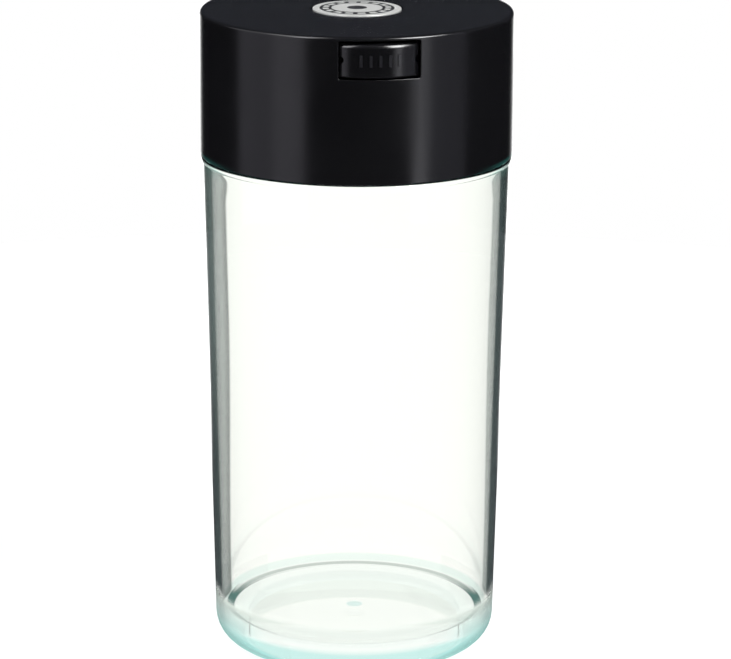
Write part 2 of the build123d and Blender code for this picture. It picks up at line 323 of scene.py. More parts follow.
def make_moulded_grain():
    """Fine sparkle of a moulded face, and a slow drift of its gloss."""
    sockets = [
        ("Grain Size", "NodeSocketFloat", 0.12 * MM),
        ("Drift Size", "NodeSocketFloat", 22 * MM),
    ]
    results = [("Grain", "NodeSocketFloat"), ("Drift", "NodeSocketFloat")]
    group, given, result = new_group("Moulded Grain", "ShaderNodeTree", sockets, results)
    place, _ = object_place(group)
    fine = maths(group, "DIVIDE", 1, given.outputs["Grain Size"])
    broad = maths(group, "DIVIDE", 1, given.outputs["Drift Size"])
    grain = noise(group, place, fine, 2, Roughness=0.55)
    drift = noise(group, place, broad, 3, Roughness=0.5)
    feed(group, result.inputs["Grain"], grain)
    feed(group, result.inputs["Drift"], drift)
    arrange(group)


def make_handling_marks():
    """Thin hairline scratches in two directions, broken up so that only some stretches show."""
    sockets = [("Spacing", "NodeSocketFloat", 3 * MM), ("Amount", "NodeSocketFloat", 0.5)]
    group, given, result = new_group(
        "Handling Marks", "ShaderNodeTree", sockets, [("Marks", "NodeSocketFloat")]
    )
    place, _ = object_place(group)
    scale = maths(group, "DIVIDE", 1, given.outputs["Spacing"])
    lines = []
    for turn, stretch in ((0.4, 0.04), (2.1, 0.06)):
        laid = {"Vector": place, "Rotation": (turn, turn / 2, turn), "Scale": (1, stretch, 1)}
        turned = add(group, "ShaderNodeMapping", laid).outputs[0]
        cells = add(
            group, "ShaderNodeTexVoronoi", {"Vector": turned, "Scale": scale}, feature="DISTANCE_TO_EDGE"
        ).outputs["Distance"]
        lines.append(step_of(group, cells, 0.0, 0.012, 1, 0))
    shown = step_of(group, noise(group, place, 70.0, 1), 0.52, 0.66)
    marks = product(group, greatest(group, *lines), shown, given.outputs["Amount"])
    feed(group, result.inputs["Marks"], marks)
    arrange(group)


def make_edge_rub():
    """A ring along a round edge, where handling has polished it."""
    sockets = [
        ("Radius", "NodeSocketFloat", 40 * MM),
        ("Height", "NodeSocketFloat", 168 * MM),
        ("Width", "NodeSocketFloat", 1.5 * MM),
    ]
    group, given, result = new_group(
        "Edge Rub", "ShaderNodeTree", sockets, [("Rub", "NodeSocketFloat")]
    )
    place, axes = object_place(group)
    across = away_from(group, axes["X"], axes["Y"])
    out = maths(group, "SUBTRACT", across, given.outputs["Radius"])
    up = maths(group, "SUBTRACT", axes["Z"], given.outputs["Height"])
    near = step_of(group, away_from(group, out, up), 0.0, given.outputs["Width"], 1, 0)
    feed(group, result.inputs["Rub"], product(group, near, noise(group, place, 260.0, 3)))
    arrange(group)


# Materials

# Painted reflection: the teal of the clear lip below, painted on the lowest edge of the lid's skirt
SKIRT_PAINTED_REFLECTION = (0.012, 0.075, 0.065)


def new_material(name):
    """An empty material with its output and a Principled node."""
    material = bpy.data.materials.new(name)
    material.use_nodes = True
    tree = material.node_tree
    tree.nodes.clear()
    output = tree.nodes.new("ShaderNodeOutputMaterial")
    shader = tree.nodes.new("ShaderNodeBsdfPrincipled")
    tree.links.new(shader.outputs[0], output.inputs["Surface"])
    return material, tree, shader, output


def bump(tree, height, strength, distance):
    """A normal from a height."""
    inputs = {"Height": height, "Strength": strength, "Distance": distance}
    return add(tree, "ShaderNodeBump", inputs).outputs["Normal"]


def moulded_black(name, finishes, roughness, grain=0.12 * MM, depth=0.006 * MM, edges=(), sizes=None):
    """Satin black moulding: fine grain, a slow drift of gloss, hairline marks and rubbed edges.

    Given the sizes, it also polishes the button's grip bars.
    """
    material, tree, shader, _ = new_material(name)
    grained = use_group(tree, "Moulded Grain", Grain_Size=grain, Drift_Size=22 * MM)
    marks = use_group(tree, "Handling Marks", Spacing=7 * MM, Amount=0.35).outputs["Marks"]
    rub = 0.0
    for radius, height in edges:
        ring = use_group(tree, "Edge Rub", Radius=radius, Height=height, Width=1.6 * MM)
        rub = greatest(tree, rub, ring.outputs["Rub"])
    drift = step_of(tree, grained.outputs["Drift"], 0.3, 0.7, -0.03, 0.03)
    level = maths(tree, "ADD", roughness, drift)
    level = maths(tree, "SUBTRACT", level, product(tree, rub, 0.05))
    level = maths(tree, "ADD", level, product(tree, marks, 0.12), clamp=True)
    black = finishes.lid_black
    colour = mixed(tree, grained.outputs["Drift"], black, scaled(black, 1.2))
    colour = mixed(tree, maths(tree, "ADD", rub, marks, clamp=True), colour, scaled(black, 1.9))
    if sizes is not None:
        polished = grip_bars(tree, sizes)
        colour = mixed(tree, polished, colour, scaled(black, 3.4))
        level = maths(tree, "ADD", level, product(tree, polished, 0.06))
    # Given edges, a painted reflection of the clear lip's teal on the skirt's lowest edge
    if edges:
        colour = mixed(tree, painted_lip_reflection(tree), colour, SKIRT_PAINTED_REFLECTION)
    feed(tree, shader.inputs["Base Color"], colour)
    feed(tree, shader.inputs["Roughness"], level)
    feed(tree, shader.inputs["Normal"], bump(tree, grained.outputs["Grain"], 0.2, depth))
    arrange(tree)
    return material


def grip_bars(tree, sizes):
    """The tops of the five raised bars on the button's face."""
    _, axes = object_place(tree)
    pitch, half_width = sizes.grip_pitch, sizes.grip_width / 2
    middle = (BUTTON[0].z + BUTTON[1].z) / 2
    half_height = sizes.grip_height / 2 - 0.05 * MM
    nearest = maths(tree, "ABSOLUTE", maths(tree, "WRAP", axes["X"], pitch / 2, -pitch / 2))
    on_bar = step_of(tree, nearest, half_width - 0.06 * MM, half_width, 1, 0)
    five = step_of(tree, maths(tree, "ABSOLUTE", axes["X"]), 2.4 * pitch, 2.5 * pitch, 1, 0)
    tall = band_of(tree, axes["Z"], middle - half_height, middle + half_height, 0.05 * MM)
    front = step_of(tree, axes["Y"], BUTTON[0].y + 2 * MM, BUTTON[0].y + 2.2 * MM, 1, 0)
    return product(tree, on_bar, five, tall, front)


def painted_lip_reflection(tree):
    """The lowest edge of the lid's skirt, seen edge on, where a reflection of the clear lip's teal is
    painted on.
    """
    _, axes = object_place(tree)
    facing = add(tree, "ShaderNodeLayerWeight", {"Blend": 0.5}).outputs["Facing"]
    low = step_of(tree, axes["Z"], SHELL[0].z + 0.7 * MM, SHELL[0].z + 1.4 * MM, 1, 0)
    return product(tree, low, step_of(tree, facing, 0.35, 0.85))


# Clear plastic

# Heights above the table between which its paint shows, starts or fades
FOOT_FADE = (4 * MM, 15 * MM)
TABLE_FADE = (6.5 * MM, 8.8 * MM)
ARC_HEIGHTS = (8.2 * MM, 9.5 * MM)
HALO_HEIGHTS = (9.6 * MM, 10.6 * MM)
FLOOR_HEIGHTS = (8.2 * MM, 8.5 * MM)
RECESS_HEIGHTS = (0.8 * MM, 3.4 * MM)
OUTLINE_HEIGHTS = (4 * MM, 12 * MM)
ABOVE_FOOT_HEIGHTS = (9 * MM, 12.5 * MM)
SIDE_START = (11.5 * MM, 15.5 * MM)
UPPER_START = (50 * MM, 95 * MM)

# Radii from the jar's axis, likewise
ARC_RADII = (32.5 * MM, 33.1 * MM)
ARC_END_RADII = (32.0 * MM, 33.7 * MM)
HALO_RADII = (33.2 * MM, 35.3 * MM)
FLOOR_EDGE = (26.5 * MM, 28.5 * MM)
GATE_EDGE = (1.7 * MM, 2.3 * MM)
RECESS_RADII = (27.6 * MM, 28.2 * MM)

# How it is seen there, from 0 straight on to 1 edge on
FOOT_FACING = (0.22, 0.55)
ARC_END_FACING = (0.42, 0.60)
RECESS_FACING = (0.78, 0.96)
OUTLINE_FACING = (0.5, 0.75)
GREY_FACING = (0.488, 0.515)
DEEP_FACING = (0.50, 0.60)
LIP_FACING = (0.45, 0.7)

# How far the grey band's edge moves: between two heights, from one amount to another
SIDE_BENDS = ((20 * MM, 95 * MM, 0.06, 0.0), (12 * MM, 19 * MM, 0.15, 0.0))
# The same near the lip, with heights from its upper face
LIP_BENDS = ((-9 * MM, -3.5 * MM, 0.0, -0.02), (-3 * MM, 0.5 * MM, 0.0, 0.14))
RIGHT_NARROWER = 0.075

# Where light passes the foot unbent: heights, radii, and distances to the left or right
FOOT_PASS = (9 * MM, 14 * MM)
INSIDE_PASS = (12.5 * MM, 15 * MM)
UNDERSIDE_FADE = (6.2 * MM, 7.4 * MM)
UNDERSIDE_RADII = (3 * MM, 29 * MM)
UNDERSIDE_ASIDE = (14 * MM, 26 * MM)
CORNER_RADII = (30.9 * MM, 36 * MM)
CORNER_HEIGHTS = (8.5 * MM, 13.5 * MM)

# What it is painted with: tints, and painted shade where the name says so
# Painted shade along the floor's inside corner: grey, and dark teal at its ends
ARC_PAINTED_SHADE = (0.36, 0.40, 0.38)
ARC_END_PAINTED_SHADE = (0.008, 0.04, 0.034)
HALO_TINT = (0.74, 0.86, 0.83)
FLOOR_TINT = (0.87, 0.885, 0.885)
GATE_TINT = (0.60, 0.80, 0.80)
# Painted shade on the recess's wall, seen edge on
RECESS_PAINTED_SHADE = (0.06, 0.075, 0.075)
# Painted shade on the foot's outline
OUTLINE_PAINTED_SHADE = (0.60, 0.62, 0.62)
# A faint darkening of the side just above the foot
ABOVE_FOOT_DARKENING = (0.76, 0.79, 0.785)
# Painted shade: the deeper grey band on the left, and the dark line high up on the left and under the
# lip
DEEP_PAINTED_GREY = (0.11, 0.12, 0.115)
UPPER_PAINTED_DARK = (0.060, 0.088, 0.083)
LIP_PAINTED_DARK = (0.04, 0.10, 0.085)
LIP_TINT = (0.62, 0.88, 0.84)
# What lamps and matt surfaces see of it
LAMP_TINT = (0.93, 0.95, 0.945)
# The light that its body keeps back
BODY_TINT = (0.45, 0.93, 0.88)
BODY_DENSITY = 6.0


def meeting(tree):
    """What is known of the place where a ray meets the jar, each as a socket."""
    _, axes = object_place(tree)
    path = add(tree, "ShaderNodeLightPath").outputs
    inside = add(tree, "ShaderNodeNewGeometry").outputs["Backfacing"]
    right = step_of(tree, axes["X"], -5 * MM, 5 * MM)
    met_before = maths(tree, "ADD", path["Ray Depth"], path["Transparent Depth"])
    return SimpleNamespace(
        x=axes["X"],
        height=axes["Z"],
        across=away_from(tree, axes["X"], axes["Y"]),
        facing=add(tree, "ShaderNodeLayerWeight", {"Blend": 0.5}).outputs["Facing"],
        outer=add(tree, "ShaderNodeAttribute", attribute_name="outer_side").outputs["Fac"],
        inside=inside,
        outside=maths(tree, "SUBTRACT", 1, inside),
        right=right,
        left=maths(tree, "SUBTRACT", 1, right),
        path=path,
        seen_first=maths(tree, "LESS_THAN", met_before, 0.5),
    )


def tint_foot(tree, at, finishes):
    """The clear colour, with teal where the foot is seen edge on and where it nears the table."""
    edge_on = product(
        tree, step_of(tree, at.height, *FOOT_FADE, 1, 0), step_of(tree, at.facing, *FOOT_FACING)
    )
    near_table = step_of(tree, at.height, *TABLE_FADE, 0.85, 0)
    foot = product(tree, greatest(tree, edge_on, near_table), at.outer)
    foot = product(tree, foot, step_of(tree, at.seen_first, 0, 1, 0.12, 1))
    return mixed(tree, foot, finishes.jar_clear, finishes.jar_edge)


def paint_floor(tree, at, colour):
    """Painted shade on the arc of the floor's corner and on the recess's wall below; the floor's tone
    and gate mark.
    """
    ends = step_of(tree, at.facing, *ARC_END_FACING)
    thin = band_of(tree, at.across, *ARC_RADII, 0.4 * MM)
    wide = product(tree, band_of(tree, at.across, *ARC_END_RADII, 0.4 * MM), ends)
    arc = product(
        tree, greatest(tree, thin, wide), at.outside, band_of(tree, at.height, *ARC_HEIGHTS, 0.2 * MM)
    )
    halo = product(
        tree, band_of(tree, at.height, *HALO_HEIGHTS, 0.8 * MM), at.outside,
        band_of(tree, at.across, *HALO_RADII, 0.4 * MM),
    )
    colour = mixed(tree, halo, colour, HALO_TINT)
    # Painted shade along the floor's corner
    colour = mixed(tree, arc, colour, mixed(tree, ends, ARC_PAINTED_SHADE, ARC_END_PAINTED_SHADE))

    top = band_of(tree, at.height, *FLOOR_HEIGHTS, 0.1 * MM)
    floor = product(tree, step_of(tree, at.across, *FLOOR_EDGE, 1, 0), top)
    colour = mixed(tree, floor, colour, FLOOR_TINT, "MULTIPLY")
    gate = product(tree, step_of(tree, at.across, *GATE_EDGE, 1, 0), top)
    colour = mixed(tree, gate, colour, GATE_TINT, "MULTIPLY")

    # Painted shade on the recess's wall below, seen edge on
    wall = product(
        tree, band_of(tree, at.across, *RECESS_RADII, 0.2 * MM),
        band_of(tree, at.height, *RECESS_HEIGHTS, 0.8 * MM), step_of(tree, at.facing, *RECESS_FACING),
    )
    return mixed(tree, wall, colour, RECESS_PAINTED_SHADE)


def paint_foot(tree, at, colour):
    """Painted shade on the foot's outline seen edge on, and a faint darkening of the side just above the
    foot where it is seen first.
    """
    # Painted shade where the foot is seen edge on
    outline = product(
        tree, step_of(tree, at.facing, *OUTLINE_FACING),
        band_of(tree, at.height, *OUTLINE_HEIGHTS, 3 * MM), at.outer,
    )
    colour = mixed(tree, outline, colour, OUTLINE_PAINTED_SHADE, "MULTIPLY")
    # A faint darkening just above the foot, where the side is seen first
    above_foot = product(tree, band_of(tree, at.height, *ABOVE_FOOT_HEIGHTS, 2.5 * MM), at.outer, at.seen_first)
    return mixed(tree, above_foot, colour, ABOVE_FOOT_DARKENING, "MULTIPLY")


def paint_side(tree, at, sizes, finishes, colour):
    """Painted shade: the dark line along each side of the wall and the grey band beside it; and the
    tinted lip.
    """
    lip = SHELL[0].z - sizes.seat_gap
    side = product(tree, at.outer, step_of(tree, at.height, *SIDE_START))
    # The painted grey band is wider on the left and below the lip, and closes to a point at either end
    bent = maths(tree, "SUBTRACT", at.facing, product(tree, at.right, RIGHT_NARROWER))
    near_lip = [(lip + start, lip + end, low, high) for start, end, low, high in LIP_BENDS]
    for bend in (*SIDE_BENDS, *near_lip):
        bent = maths(tree, "SUBTRACT", bent, step_of(tree, at.height, *bend))
    grey = product(tree, step_of(tree, bent, *GREY_FACING), side, at.outside)
    deep = product(tree, step_of(tree, bent, *DEEP_FACING, 1, 0.22), at.left)
    colour = mixed(tree, grey, colour, mixed(tree, deep, finishes.jar_painted_grey, DEEP_PAINTED_GREY))

    # The dark line is painted shade, for light that was turned back inside the wall early on its way
    early = maths(tree, "LESS_THAN", at.path["Ray Depth"], 4.5)
    turned_back = product(tree, at.path["Is Reflection Ray"], at.inside, product(tree, side, early))
    under_lip = step_of(tree, at.height, lip - 5 * MM, lip)
    upper_left = product(tree, step_of(tree, at.height, *UPPER_START), at.left)
    dark = mixed(tree, upper_left, finishes.jar_painted_dark, UPPER_PAINTED_DARK)
    colour = mixed(tree, turned_back, colour, mixed(tree, under_lip, dark, LIP_PAINTED_DARK))
    tinted = product(tree, under_lip, step_of(tree, at.facing, *LIP_FACING))
    return mixed(tree, tinted, colour, LIP_TINT, "MULTIPLY")


def straight_through(tree, at):
    """How much of the light passes the foot unbent: its soft corners bend less than sharp ones."""
    low = step_of(tree, at.height, *UNDERSIDE_FADE, 1, 0)
    underside = product(tree, band_of(tree, at.across, *UNDERSIDE_RADII, 0.8 * MM), low)
    aside = step_of(tree, maths(tree, "ABSOLUTE", at.x), *UNDERSIDE_ASIDE, 0.97, 0.75)
    corner = product(
        tree, band_of(tree, at.across, *CORNER_RADII, 0.6 * MM),
        band_of(tree, at.height, *CORNER_HEIGHTS, 0.2 * MM), maths(tree, "SUBTRACT", 1, at.outer),
    )
    return greatest(
        tree,
        step_of(tree, at.height, *FOOT_PASS, 0.8, 0),
        product(tree, step_of(tree, at.height, *INSIDE_PASS, 0.93, 0), at.inside),
        product(tree, underside, aside),
        product(tree, corner, 0.93),
    )


def clear_plastic(sizes, finishes):
    """Clear moulding that bends light, with tints and painted shade on its edges, foot and floor,
    painted in by rule.
    """
    material, tree, shader, output = new_material("clear_plastic")
    shader.inputs["Transmission Weight"].default_value = 1
    shader.inputs["IOR"].default_value = 1.5
    shader.inputs["Roughness"].default_value = 0.0
    at = meeting(tree)
    painted = paint_foot(tree, at, paint_floor(tree, at, tint_foot(tree, at, finishes)))
    feed(tree, shader.inputs["Base Color"], paint_side(tree, at, sizes, finishes, painted))

    lamps = greatest(tree, at.path["Is Shadow Ray"], at.path["Is Diffuse Ray"])
    # Bent light is tinted by the square root of the base colour, and light that passes unbent likewise
    rooted = add(tree, "ShaderNodeGamma", {"Color": painted, "Gamma": 0.5}).outputs[0]
    thin = add(tree, "ShaderNodeBsdfTransparent", {"Color": mixed(tree, lamps, rooted, LAMP_TINT)})
    share = greatest(tree, lamps, straight_through(tree, at))
    both = add(tree, "ShaderNodeMixShader", {0: share, 1: shader.outputs[0], 2: thin.outputs[0]})
    tree.links.new(both.outputs[0], output.inputs["Surface"])
    body = add(tree, "ShaderNodeVolumeAbsorption", {"Color": BODY_TINT, "Density": BODY_DENSITY})
    tree.links.new(body.outputs[0], output.inputs["Volume"])
    arrange(tree)
    return material


# Foil, rubber and steel


def printed_foil(finishes):
    """Brushed silver foil with plain dark rings and ticks printed on it."""
    material, tree, shader, _ = new_material("printed_foil")
    place, axes = object_place(tree)
    share = maths(tree, "DIVIDE", away_from(tree, axes["X"], axes["Y"]), BADGE[1].x)
    angle = maths(tree, "ARCTAN2", axes["Y"], axes["X"])
    ticks = maths(tree, "COSINE", product(tree, angle, 16))
    gaps = product(tree, step_of(tree, ticks, -0.5, -0.4), band_of(tree, share, 0.65, 0.77, 0.01))
    ring = product(tree, band_of(tree, share, 0.58, 0.84, 0.008), maths(tree, "SUBTRACT", 1, gaps))
    ink = greatest(tree, ring, step_of(tree, share, 0.22, 0.23, 1, 0))
    drawn = add(tree, "ShaderNodeMapping", {"Vector": place, "Scale": (1, 18, 1)}).outputs[0]
    brushed = noise(tree, drawn, 900.0, 3)
    silver = mixed(tree, brushed, scaled(finishes.foil_silver, 0.9), finishes.foil_silver)
    feed(tree, shader.inputs["Base Color"], mixed(tree, ink, silver, finishes.foil_ink))
    feed(tree, shader.inputs["Metallic"], product(tree, maths(tree, "SUBTRACT", 1, ink), 0.25))
    feed(tree, shader.inputs["Roughness"], step_of(tree, brushed, 0.3, 0.7, 0.34, 0.46))
    feed(tree, shader.inputs["Normal"], bump(tree, brushed, 0.2, 0.01 * MM))
    arrange(tree)
    return material


def soft_rubber(finishes):
    """Matt black silicone with a powdery bloom."""
    material, tree, shader, _ = new_material("soft_rubber")
    grained = use_group(tree, "Moulded Grain", Grain_Size=0.25 * MM, Drift_Size=6 * MM)
    drift = grained.outputs["Drift"]
    bloom = step_of(tree, drift, 0.45, 0.75)
    colour = mixed(tree, bloom, finishes.rubber_black, scaled(finishes.rubber_black, 2.6))
    feed(tree, shader.inputs["Base Color"], colour)
    feed(tree, shader.inputs["Roughness"], step_of(tree, drift, 0.3, 0.7, 0.5, 0.68))
    feed(tree, shader.inputs["Normal"], bump(tree, grained.outputs["Grain"], 0.3, 0.02 * MM))
    arrange(tree)
    return material


def drawn_steel(finishes):
    """Bright drawn wire and stamped sheet, with fine lines and a few darker spots."""
    material, tree, shader, _ = new_material("drawn_steel")
    grained = use_group(tree, "Moulded Grain", Grain_Size=0.08 * MM, Drift_Size=1.5 * MM)
    drift = grained.outputs["Drift"]
    spots = step_of(tree, drift, 0.55, 0.8)
    colour = mixed(tree, spots, finishes.steel, scaled(finishes.steel, 0.55))
    feed(tree, shader.inputs["Base Color"], colour)
    shader.inputs["Metallic"].default_value = 1
    feed(tree, shader.inputs["Roughness"], step_of(tree, drift, 0.3, 0.7, 0.22, 0.36))
    feed(tree, shader.inputs["Normal"], bump(tree, grained.outputs["Grain"], 0.15, 0.005 * MM))
    arrange(tree)
    return material


def dress(material, *nodes):
    """Gives carried nodes a material in place of the plain one that they came with."""
    for name in nodes:
        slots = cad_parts[name].material_slots
        if not slots:
            raise RuntimeError(f"{name} has no material slot")
        for slot in slots:
            slot.material = material


# Turned and wound pieces


def finish_mesh(group, given, result, geometry):
    """Ends a tree: smooth faces, real geometry and the given material."""
    smooth = add(group, "GeometryNodeSetShadeSmooth", {"Geometry": geometry})
    real = add(group, "GeometryNodeRealizeInstances", {"Geometry": smooth.outputs[0]})
    finished = add(
        group, "GeometryNodeSetMaterial",
        {"Geometry": real.outputs[0], "Material": given.outputs["Material"]},
    )
    feed(group, result.inputs["Mesh"], finished.outputs[0])
    arrange(group)
    return group


def turned_profile_tree():
    """Rounds the corners of a profile and turns it about the Z axis into one closed mesh."""
    sockets = [
        ("Profile", "NodeSocketGeometry", None),
        ("Segments", "NodeSocketInt", 256),
        ("Corner Steps", "NodeSocketInt", 9),
        ("Path Radius", "NodeSocketFloat", 40 * MM),
        ("Weld", "NodeSocketFloat", 0.001 * MM),
        ("Material", "NodeSocketMaterial", None),
    ]
    group, given, result = new_group(
        "Turned Profile", "GeometryNodeTree", sockets, [("Mesh", "NodeSocketGeometry")]
    )
    round_of = add(group, "GeometryNodeInputNamedAttribute", {"Name": "corner"}, data_type="FLOAT")
    line = add(group, "GeometryNodeMeshToCurve", {"Mesh": given.outputs["Profile"]})
    rounded = add(
        group, "GeometryNodeFilletCurve",
        {
            "Curve": line.outputs[0],
            "Count": given.outputs["Corner Steps"],
            "Radius": round_of.outputs["Attribute"],
            "Limit Radius": True,
        },
        mode="POLY",
    )
    path = add(
        group, "GeometryNodeCurvePrimitiveCircle",
        {"Resolution": given.outputs["Segments"], "Radius": given.outputs["Path Radius"]},
    )
    turned = add(
        group, "GeometryNodeCurveToMesh", {"Curve": path.outputs[0], "Profile Curve": rounded.outputs[0]}
    )
    closed = add(
        group, "GeometryNodeMergeByDistance",
        {"Geometry": turned.outputs[0], "Distance": given.outputs["Weld"]},
    )
    outward = add(group, "GeometryNodeFlipFaces", {0: closed.outputs[0]})
    return finish_mesh(group, given, result, outward.outputs[0])


def shape(name, mesh, tree, values):
    """An object whose mesh a node tree makes, with the tree's named inputs set."""
    piece = bpy.data.objects.new(name, mesh)
    bpy.context.scene.collection.objects.link(piece)
    modifier = piece.modifiers.new(tree.name, "NODES")
    modifier.node_group = tree
    for item in tree.interface.items_tree:
        if item.in_out == "INPUT" and item.name in values:
            modifier[item.identifier] = values[item.name]
    return piece


def turn(name, corners, sizes, material):
    """A turned piece from its profile's corners: radius, height, round, and 1 on the outer side."""
    path_radius = sizes.lip_radius
    mesh = bpy.data.meshes.new(name)
    points = [(r - path_radius, -z, 0) for r, z, _, _ in corners]
    mesh.from_pydata(points, [(i, i + 1) for i in range(len(points) - 1)], [])
    for label, place in (("corner", 2), ("outer_side", 3)):
        attribute = mesh.attributes.new(label, "FLOAT", "POINT")
        attribute.data.foreach_set("value", [c[place] for c in corners])
    tree = bpy.data.node_groups.get("Turned Profile") or turned_profile_tree()
    values = {
        "Segments": sizes.turns,
        "Corner Steps": sizes.corner_steps,
        "Path Radius": path_radius,
        "Material": material,
    }
    piece = shape(name, mesh, tree, values)
    weighted = piece.modifiers.new("Weighted Normals", "WEIGHTED_NORMAL")
    weighted.keep_sharp = True
    return settled(piece)


def wound_coil_tree():
    """Winds one open coil of round wire along the Y axis."""
    sockets = [
        ("Turns", "NodeSocketFloat", 5.0),
        ("Radius", "NodeSocketFloat", 2.1 * MM),
        ("Length", "NodeSocketFloat", 7 * MM),
        ("Wire", "NodeSocketFloat", 0.45 * MM),
        ("Start", "NodeSocketVector", (0, 0, 0)),
        ("Steps per Turn", "NodeSocketInt", 48),
        ("Wire Sides", "NodeSocketInt", 16),
        ("Material", "NodeSocketMaterial", None),
    ]
    group, given, result = new_group(
        "Wound Coil", "GeometryNodeTree", sockets, [("Mesh", "NodeSocketGeometry")]
    )
    spiral = add(
        group, "GeometryNodeCurveSpiral",
        {
            "Resolution": given.outputs["Steps per Turn"],
            "Rotations": given.outputs["Turns"],
            "Start Radius": given.outputs["Radius"],
            "End Radius": given.outputs["Radius"],
            "Height": given.outputs["Length"],
        },
    )
    laid = add(
        group, "GeometryNodeTransform",
        {
            "Geometry": spiral.outputs[0],
            "Translation": given.outputs["Start"],
            "Rotation": (0, -pi / 2, -pi / 2),
        },
    )
    wire = add(
        group, "GeometryNodeCurvePrimitiveCircle",
        {
            "Resolution": given.outputs["Wire Sides"],
            "Radius": maths(group, "DIVIDE", given.outputs["Wire"], 2),
        },
    )
    wound = add(
        group, "GeometryNodeCurveToMesh",
        {"Curve": laid.outputs[0], "Profile Curve": wire.outputs[0], "Fill Caps": True},
    )
    return finish_mesh(group, given, result, wound.outputs[0])


def wind(name, low, high, sizes, material):
    """A coil that fills the box between two corners, wound along Y."""
    wire = sizes.coil_wire
    tree = bpy.data.node_groups.get("Wound Coil") or wound_coil_tree()
    values = {
        "Turns": sizes.coil_turns,
        "Radius": (high.z - low.z - wire) / 2,
        "Length": high.y - low.y - wire,
        "Wire": wire,
        "Start": (0, low.y + wire / 2, (low.z + high.z) / 2),
        "Material": material,
    }
    return settled(shape(name, bpy.data.meshes.new(name), tree, values))


def settled(piece):
    """The piece with its modifiers turned into a plain mesh."""
    evaluated = piece.evaluated_get(bpy.context.evaluated_depsgraph_get())
    finished = bpy.data.meshes.new_from_object(evaluated)
    rough = piece.data
    piece.modifiers.clear()
    piece.data = finished
    finished.name = piece.name
    bpy.data.meshes.remove(rough)
    return piece


# Operators


class OBJECT_OT_canister_groups(bpy.types.Operator):
    """Makes the shader groups that several of the canister's materials share"""

    bl_idname = "object.canister_groups"
    bl_label = "Shared Finishes"

    def execute(self, context):
        make_moulded_grain()
        make_handling_marks()
        make_edge_rub()
        return {"FINISHED"}


class OBJECT_OT_canister_jar(bpy.types.Operator):
    """Turns the clear jar from its profile, in place of the plain solid"""

    bl_idname = "object.canister_jar"
    bl_label = "Clear Jar"

    def execute(self, context):
        s = context.scene.canister_sizes
        ledge = SHELL[0].z - s.seat_gap
        side_top = s.lip_radius - s.side_step
        side_foot = side_top - s.side_draw_in
        neck = s.lip_radius - s.neck_step
        bore = neck - s.neck_wall
        ring = side_foot - s.foot_corner - s.foot_land
        floor_base = s.floor_top - s.floor_thickness
        corners = [
            (0, floor_base - s.gate_height, 0, 0),
            (s.gate_radius, floor_base - s.gate_height, s.gate_height / 3, 0),
            (s.gate_radius, floor_base, s.gate_height / 3, 0),
            (ring, floor_base, s.recess_corner, 0),
            (ring, 0, s.foot_edge, 0),
            (side_foot, 0, s.foot_corner, 1),
            (side_top, ledge - s.lip_height, 0, 1),
            (s.lip_radius, ledge - s.lip_height + s.side_step, 0, 0),
            (s.lip_radius, ledge, s.lip_round, 0),
            (neck, ledge, s.neck_root, 0),
            (neck, s.rim_height, s.rim_round, 0),
            (bore, s.rim_height, s.rim_round, 0),
            (bore, ledge - s.bore_run, 0, 0),
            (side_foot - s.foot_wall, s.floor_top, s.floor_corner, 0),
            (0, s.floor_top, 0, 0),
        ]
        material = clear_plastic(s, context.scene.canister_finishes)
        piece = turn("jar", corners, s, material)
        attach(piece, "jar")
        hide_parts("canister")
        return {"FINISHED"}


class OBJECT_OT_canister_lid(bpy.types.Operator):
    """Gives the lid's outer shell its satin black moulding"""

    bl_idname = "object.canister_lid"
    bl_label = "Lid Shell"

    def execute(self, context):
        finishes = context.scene.canister_finishes
        edges = ((SHELL[1].x, SHELL[1].z), (SHELL[1].x, SHELL[0].z))
        dress(moulded_black("lid_satin", finishes, finishes.lid_roughness, edges=edges), "lid_shell")
        return {"FINISHED"}


class OBJECT_OT_canister_badge(bpy.types.Operator):
    """Turns the silver disc on the lid, printed with plain rings"""

    bl_idname = "object.canister_badge"
    bl_label = "Lid Badge"

    def execute(self, context):
        s = context.scene.canister_sizes
        radius = BADGE[1].x
        base, top = BADGE[0].z, BADGE[1].z
        rim = top - s.badge_crown
        corners = [(0, base, 0, 0), (radius, base, s.badge_edge / 2, 0), (radius, rim, s.badge_edge, 0)]
        steps = 6
        for i in range(1, steps + 1):
            out = 1 - i / steps
            corners.append((radius * out, rim + s.badge_crown * (1 - out**2), 0, 0))
        piece = turn("badge_disc", corners, s, printed_foil(context.scene.canister_finishes))
        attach(piece, "lid")
        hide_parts("lid_badge")
        return {"FINISHED"}


class OBJECT_OT_canister_button(bpy.types.Operator):
    """Gives the vent button its slightly glossier black"""

    bl_idname = "object.canister_button"
    bl_label = "Vent Button"

    def execute(self, context):
        sizes, finishes = context.scene.canister_sizes, context.scene.canister_finishes
        satin = moulded_black("button_satin", finishes, finishes.lid_roughness - 0.02, sizes=sizes)
        dress(satin, "push_button")
        return {"FINISHED"}


class OBJECT_OT_canister_plug(bpy.types.Operator):
    """Finishes the plug inside the lid and the ring that seals it"""

    bl_idname = "object.canister_plug"
    bl_label = "Plug and Seal"

    def execute(self, context):
        finishes = context.scene.canister_finishes
        dress(moulded_black("plug_matt", finishes, 0.42, grain=0.2 * MM, depth=0.012 * MM), "lid_plug")
        rubber = bpy.data.materials.get("soft_rubber") or soft_rubber(finishes)
        dress(rubber, "plug_seal")
        return {"FINISHED"}


class OBJECT_OT_canister_valve(bpy.types.Operator):
    """Finishes the valve's soft cup and its retainer"""

    bl_idname = "object.canister_valve"
    bl_label = "Valve"

    def execute(self, context):
        finishes = context.scene.canister_finishes
        rubber = bpy.data.materials.get("soft_rubber") or soft_rubber(finishes)
        dress(rubber, "valve_seal")
        steel = bpy.data.materials.get("drawn_steel") or drawn_steel(finishes)
        dress(steel, "valve_retainer")
        return {"FINISHED"}


